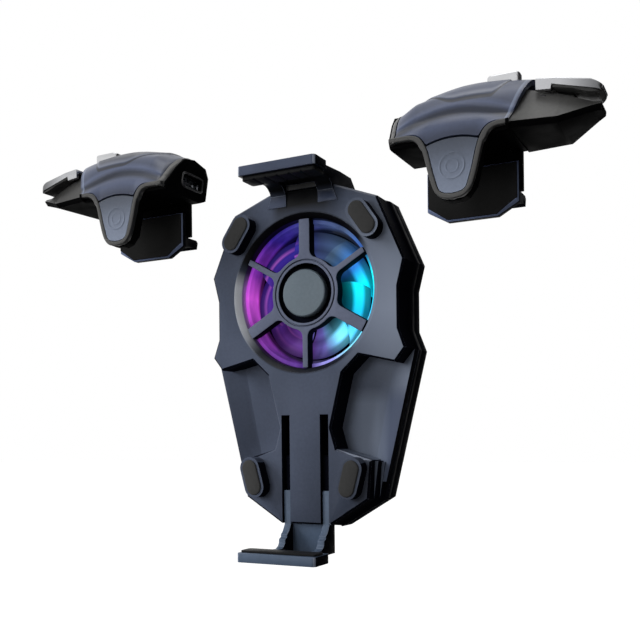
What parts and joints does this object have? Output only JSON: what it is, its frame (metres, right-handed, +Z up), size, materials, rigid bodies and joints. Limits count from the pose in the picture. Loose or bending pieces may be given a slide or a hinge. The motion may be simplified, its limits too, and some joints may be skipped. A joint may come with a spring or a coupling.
{
  "type": "phone game controller with cooling fan",
  "caption": "Phone cooler with lit fan, fixed hook and sliding claw, and clip-on trigger modules for the phone's top edge.",
  "frame": {"origin": "centre of the plane of the four rest pads' faces, where the phone's back lies", "axes": "+X along the phone's long side to the right seen from the front, +Y from the phone to the back of the cooler, +Z up towards the triggers"},
  "size_m": [0.1394, 0.0309, 0.0995],
  "materials": {
    "navy_plastic": "satin",
    "dark_plastic": "satin",
    "soft_rubber": "matte",
    "chrome_trim": "polished",
    "silver_key": "satin",
    "grey_disc": "satin",
    "light_guide": "polished",
    "clear_fan": "polished",
    "steel": "brushed",
    "brass_sleeve": "satin",
    "copper_winding": "gloss",
    "magnet": "satin",
    "board_green": "satin",
    "switch_black": "matte",
    "cell_silver": "satin"
  },
  "bodies": {
    "cooler": {"front_cover": "navy_plastic", "rest_pads_upper": "soft_rubber", "rest_pads_lower": "soft_rubber", "rear_housing": "dark_plastic", "back_cover": "dark_plastic", "case_screws": "steel", "fan_guard": "navy_plastic", "hub_cap": "grey_disc", "light_ring": "light_guide", "led_board": "board_green", "fan_frame": "dark_plastic", "bearing": "brass_sleeve", "motor_stator": "copper_winding", "control_board": "board_green", "battery": "cell_silver", "usb_board": "board_green", "usb_socket": "steel", "top_hook": "navy_plastic", "hook_pad": "soft_rubber", "claw_guide": "dark_plastic"},
    "fan": {"fan_rotor": "clear_fan", "rotor_magnet": "magnet", "rotor_shaft": "steel"},
    "claw": {"lower_claw": "navy_plastic", "claw_pad": "soft_rubber"},
    "power_key": {"power_button": "dark_plastic"},
    "left_module": {"left_main_shell": "dark_plastic", "left_top_cover": "navy_plastic", "left_tongue_panel": "navy_plastic", "left_touch_pad": "soft_rubber", "left_circuit_board": "board_green", "left_trigger_switch": "switch_black", "left_battery": "cell_silver", "left_usb_socket": "steel", "left_screws": "steel", "left_trigger_pin": "steel"},
    "left_jaw": {"left_jaw_plate": "dark_plastic", "left_jaw_pad": "soft_rubber", "left_jaw_pins": "steel", "left_jaw_springs": "steel"},
    "left_trigger": {"left_trigger_plate": "chrome_trim", "left_trigger_core": "dark_plastic"},
    "left_key": {"left_top_button": "silver_key"},
    "right_module": {"right_main_shell": "dark_plastic", "right_top_cover": "navy_plastic", "right_tongue_panel": "navy_plastic", "right_touch_pad": "soft_rubber", "right_circuit_board": "board_green", "right_trigger_switch": "switch_black", "right_battery": "cell_silver", "right_usb_socket": "steel", "right_screws": "steel", "right_trigger_pin": "steel"},
    "right_jaw": {"right_jaw_plate": "dark_plastic", "right_jaw_pad": "soft_rubber", "right_jaw_pins": "steel", "right_jaw_springs": "steel"},
    "right_trigger": {"right_trigger_plate": "chrome_trim", "right_trigger_core": "dark_plastic"},
    "right_key": {"right_top_button": "silver_key"}
  },
  "joints": [
    {"name": "fan_spin", "type": "hinge", "parent": "cooler", "child": "fan", "pos_m": [0, 0.0124, 0.0142], "axis": [0, 1, 0], "continuous": true},
    {"name": "claw_slide", "type": "slide", "parent": "cooler", "child": "claw", "axis": [0, 0, 1], "range_m": [-0.005, 0.0175]},
    {"name": "power_press", "type": "slide", "parent": "cooler", "child": "power_key", "axis": [0, -1, 0], "range_m": [0, 0.0005], "stiffness_N_per_m": 400, "springref_m": -0.0005},
    {"name": "left_module_slide", "type": "slide", "parent": "cooler", "child": "left_module", "axis": [-1, 0, 0], "range_m": [-0.008, 0.01]},
    {"name": "left_jaw_slide", "type": "slide", "parent": "left_module", "child": "left_jaw", "axis": [0, 1, 0], "range_m": [-0.0018, 0.0002], "stiffness_N_per_m": 250, "deforming": ["left_jaw_springs"]},
    {"name": "left_trigger_press", "type": "hinge", "parent": "left_module", "child": "left_trigger", "pos_m": [-0.0584, -0.0038, 0.0448], "axis": [0, -1, 0], "range_deg": [0, 4], "stiffness_Nm_per_rad": 0.06, "springref_deg": -3.44},
    {"name": "left_top_key_press", "type": "slide", "parent": "left_module", "child": "left_key", "axis": [0, 0, -1], "range_m": [0, 0.0008], "stiffness_N_per_m": 400, "springref_m": -0.0005},
    {"name": "right_module_slide", "type": "slide", "parent": "cooler", "child": "right_module", "axis": [1, 0, 0], "range_m": [-0.008, 0.01]},
    {"name": "right_jaw_slide", "type": "slide", "parent": "right_module", "child": "right_jaw", "axis": [0, 1, 0], "range_m": [-0.0018, 0.0002], "stiffness_N_per_m": 250, "deforming": ["right_jaw_springs"]},
    {"name": "right_trigger_press", "type": "hinge", "parent": "right_module", "child": "right_trigger", "pos_m": [0.0584, -0.0038, 0.0448], "axis": [0, 1, 0], "range_deg": [0, 4], "stiffness_Nm_per_rad": 0.06, "springref_deg": -3.44},
    {"name": "right_top_key_press", "type": "slide", "parent": "right_module", "child": "right_key", "axis": [0, 0, -1], "range_m": [0, 0.0008], "stiffness_N_per_m": 400, "springref_m": -0.0005}
  ]
}
